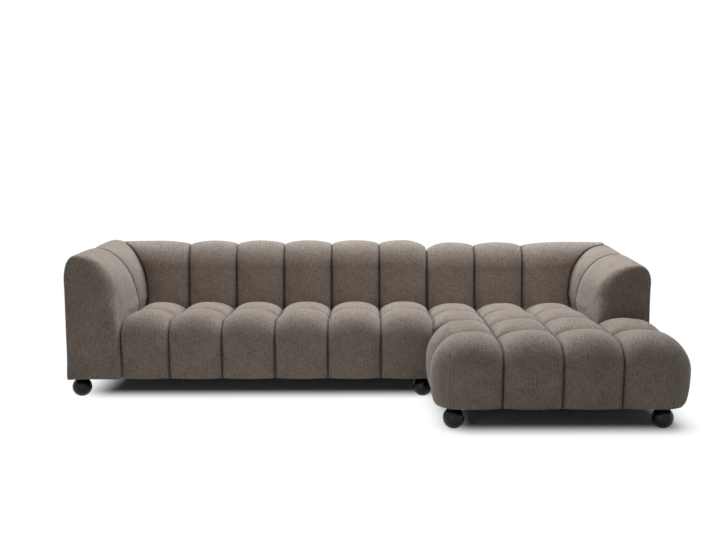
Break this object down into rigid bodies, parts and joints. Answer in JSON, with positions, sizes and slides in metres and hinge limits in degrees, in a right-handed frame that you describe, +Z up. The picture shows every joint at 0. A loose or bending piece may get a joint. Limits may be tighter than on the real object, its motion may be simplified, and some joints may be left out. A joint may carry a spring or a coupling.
{
  "type": "corner sofa",
  "caption": "Low corner sofa in two upholstered modules, a sofa with the left arm and a chaise with the right arm, stitched into wide tufted channels, on ball feet.",
  "frame": {"origin": "on the floor, in the middle of the bounding box of the whole sofa", "axes": "+X along the back, from the left arm to the right arm as seen from the front; the front faces -Y; +Z up"},
  "size_m": [3.072, 1.5, 0.7569],
  "materials": {
    "upholstery": "woven taupe upholstery over foam, stitched into channels",
    "foot_lacquer": "turned wood in black gloss lacquer",
    "timber": "planed pine",
    "board": "raw hardboard",
    "webbing": "elastic webbing",
    "felt": "needled felt",
    "dust_cloth": "black non-woven cloth",
    "steel": "zinc plated"
  },
  "bodies": {
    "sofa_module": {"sofa_front_rail": "timber", "sofa_rear_rail": "timber", "sofa_left_rail": "timber", "sofa_right_rail": "timber", "sofa_arm_rails": "timber", "sofa_cross_rails": "timber", "sofa_glue_blocks": "timber", "sofa_back_posts": "timber", "sofa_back_top_rail": "timber", "sofa_back_panel": "board", "sofa_arm_posts": "timber", "sofa_arm_top_board": "timber", "sofa_arm_side_panel": "board", "sofa_straps": "webbing", "sofa_cross_straps": "webbing", "sofa_felt": "felt", "sofa_seat_pad": "upholstery", "sofa_back_pad": "upholstery", "sofa_arm_pad": "upholstery", "sofa_end_cover": "upholstery", "sofa_dust_cover": "dust_cloth", "sofa_foot_plates": "steel", "sofa_foot_studs": "steel", "sofa_screws": "steel", "sofa_sockets": "steel", "sofa_foot_front_left": "foot_lacquer", "sofa_foot_front_right": "foot_lacquer", "sofa_foot_rear_left": "foot_lacquer", "sofa_foot_rear_right": "foot_lacquer"},
    "chaise_module": {"chaise_front_rail": "timber", "chaise_rear_rail": "timber", "chaise_left_rail": "timber", "chaise_right_rail": "timber", "chaise_arm_rails": "timber", "chaise_cross_rails": "timber", "chaise_glue_blocks": "timber", "chaise_back_posts": "timber", "chaise_back_top_rail": "timber", "chaise_back_panel": "board", "chaise_arm_posts": "timber", "chaise_arm_top_board": "timber", "chaise_arm_side_panel": "board", "chaise_straps": "webbing", "chaise_cross_straps": "webbing", "chaise_felt": "felt", "chaise_seat_pad": "upholstery", "chaise_front_pad": "upholstery", "chaise_back_pad": "upholstery", "chaise_arm_pad": "upholstery", "chaise_side_border": "upholstery", "chaise_end_cover": "upholstery", "chaise_dust_cover": "dust_cloth", "chaise_foot_plates": "steel", "chaise_foot_studs": "steel", "chaise_screws": "steel", "chaise_tongues": "steel", "chaise_foot_front_left": "foot_lacquer", "chaise_foot_front_right": "foot_lacquer", "chaise_foot_rear_left": "foot_lacquer", "chaise_foot_rear_right": "foot_lacquer"}
  },
  "joints": [
    {"name": "module_split", "type": "slide", "parent": "sofa_module", "child": "chaise_module", "axis": [1, 0, 0], "range_m": [0, 0.3]}
  ]
}
